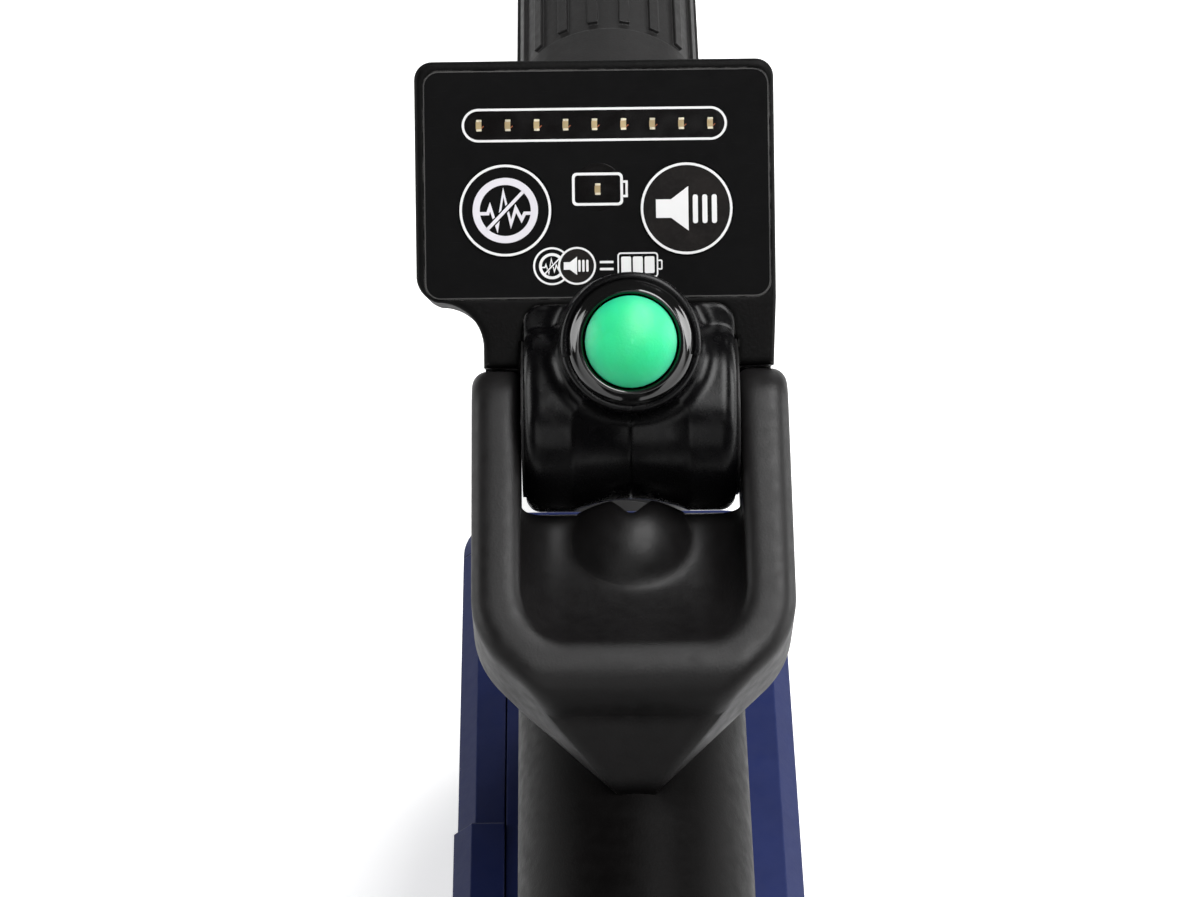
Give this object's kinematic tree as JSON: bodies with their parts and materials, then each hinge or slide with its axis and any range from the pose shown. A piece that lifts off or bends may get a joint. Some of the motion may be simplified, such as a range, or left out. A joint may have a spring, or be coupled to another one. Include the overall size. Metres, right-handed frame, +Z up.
{
  "type": "metal detector",
  "caption": "Hand-held metal detector: closed-handle housing, folding display pod with thumb button, telescopic shaft, tilting round search coil and arm cuff.",
  "frame": {"origin": "centre of the housing's flat underside, on the surface that the detector lies on", "axes": "+X to the user's right, +Y forward along the shaft towards the search coil, +Z up"},
  "size_m": [0.23, 1.3257, 0.2355],
  "materials": {
    "housing_blue": "satin navy-blue moulded plastic",
    "black_plastic": "satin black moulded plastic",
    "guard_black": "fine-textured satin black moulding",
    "head_black": "satin black moulding with a slight sheen",
    "pod_black": "satin black casting with rough edges",
    "label_black": "matte black printed overlay",
    "window_smoke": "dark clear window",
    "lamp_amber": "unlit surface-mount lamp",
    "bezel_gloss": "glossy black ring",
    "button_green": "matte mint-green cap",
    "grip_rubber": "matte black rubber",
    "seal_rubber": "black rubber",
    "steel": "stainless fastener",
    "nylon_black": "black nylon",
    "board_green": "circuit board",
    "cell_wrap": "wrapped dry cell",
    "contact_metal": "plated spring contact",
    "tube_black": "black fibre tube",
    "collar_black": "satin black ribbed collar",
    "coil_black": "matte black moulded shell",
    "copper": "bundled copper wire",
    "pad_foam": "black closed-cell pad"
  },
  "bodies": {
    "root": {"housing_base": "housing_blue", "housing_cover": "housing_blue", "housing_gasket": "seal_rubber", "housing_screws": "steel", "side_cover": "housing_blue", "door_pin": "steel", "main_board": "board_green", "battery_tray": "black_plastic", "battery_cells": "cell_wrap", "battery_contacts": "contact_metal", "speaker": "black_plastic", "speaker_grille": "black_plastic", "headphone_socket": "black_plastic", "handle_frame": "black_plastic", "grip_sleeve": "grip_rubber", "handle_screws": "steel", "thumb_guard": "guard_black", "guard_screws": "steel", "hinge_pin": "steel", "shaft_socket": "black_plastic", "socket_screws": "steel", "upper_tube": "tube_black", "collet": "nylon_black", "rear_socket": "black_plastic", "rear_tube": "tube_black", "rear_cap": "seal_rubber", "cuff_bracket": "black_plastic", "cuff_screws": "steel", "arm_cuff": "black_plastic", "cuff_pad": "pad_foam"},
    "pod": {"pod_shell": "pod_black", "pod_back": "pod_black", "pod_gasket": "seal_rubber", "pod_screws": "steel", "pod_label": "label_black", "lamp_windows": "window_smoke", "pod_board": "board_green", "pod_lamps": "lamp_amber", "head_left": "head_black", "head_right": "head_black", "button_bezel": "bezel_gloss", "switch_body": "nylon_black", "hinge_washers": "black_plastic"},
    "thumb_button": {"button_cap": "button_green"},
    "noise_key": {"noise_key": "label_black"},
    "volume_key": {"volume_key": "label_black"},
    "battery_door": {"battery_door": "housing_blue"},
    "door_fastener": {"door_fastener": "steel"},
    "lock_collar": {"lock_collar": "collar_black"},
    "lower_shaft": {"lower_tube": "tube_black", "tube_bush": "nylon_black", "tube_yoke": "black_plastic"},
    "coil": {"coil_base": "coil_black", "coil_top": "coil_black", "transmit_winding": "copper", "receive_winding": "copper", "coil_gland": "nylon_black", "pivot_bolt": "nylon_black", "pivot_washers": "seal_rubber"},
    "pivot_knob": {"pivot_knob": "black_plastic"}
  },
  "joints": [
    {"name": "pod_fold", "type": "hinge", "parent": "root", "child": "pod", "pos_m": [0, 0.0495, 0.1936], "axis": [-1, 0, 0], "range_deg": [0, 70]},
    {"name": "thumb_button_press", "type": "slide", "parent": "pod", "child": "thumb_button", "axis": [0, 0.7071, -0.7071], "range_m": [0, 0.002], "stiffness_N_per_m": 1500, "springref_m": -0.0004},
    {"name": "noise_key_press", "type": "slide", "parent": "pod", "child": "noise_key", "axis": [0, 0.7071, -0.7071], "range_m": [0, 0.0004], "stiffness_N_per_m": 4000, "springref_m": -0.0001},
    {"name": "volume_key_press", "type": "slide", "parent": "pod", "child": "volume_key", "axis": [0, 0.7071, -0.7071], "range_m": [0, 0.0004], "stiffness_N_per_m": 4000, "springref_m": -0.0001},
    {"name": "battery_door_open", "type": "hinge", "parent": "root", "child": "battery_door", "pos_m": [-0.031, -0.0093, 0.0075], "axis": [0, -1, 0], "range_deg": [0, 90]},
    {"name": "door_fastener_turn", "type": "hinge", "parent": "battery_door", "child": "door_fastener", "pos_m": [-0.0332, -0.0093, 0.075], "axis": [-1, 0, 0], "range_deg": [0, 90]},
    {"name": "lock_collar_turn", "type": "hinge", "parent": "root", "child": "lock_collar", "pos_m": [0, 0.338, 0.042], "axis": [0, 1, 0], "range_deg": [0, 90]},
    {"name": "lower_shaft_slide", "type": "slide", "parent": "root", "child": "lower_shaft", "axis": [0, 1, 0], "range_m": [-0.12, 0]},
    {"name": "coil_tilt", "type": "hinge", "parent": "lower_shaft", "child": "coil", "pos_m": [0, 0.815, 0.042], "axis": [1, 0, 0], "range_deg": [0, 70]},
    {"name": "pivot_knob_turn", "type": "hinge", "parent": "coil", "child": "pivot_knob", "pos_m": [-0.02, 0.815, 0.042], "axis": [-1, 0, 0], "range_deg": [0, 180]}
  ]
}
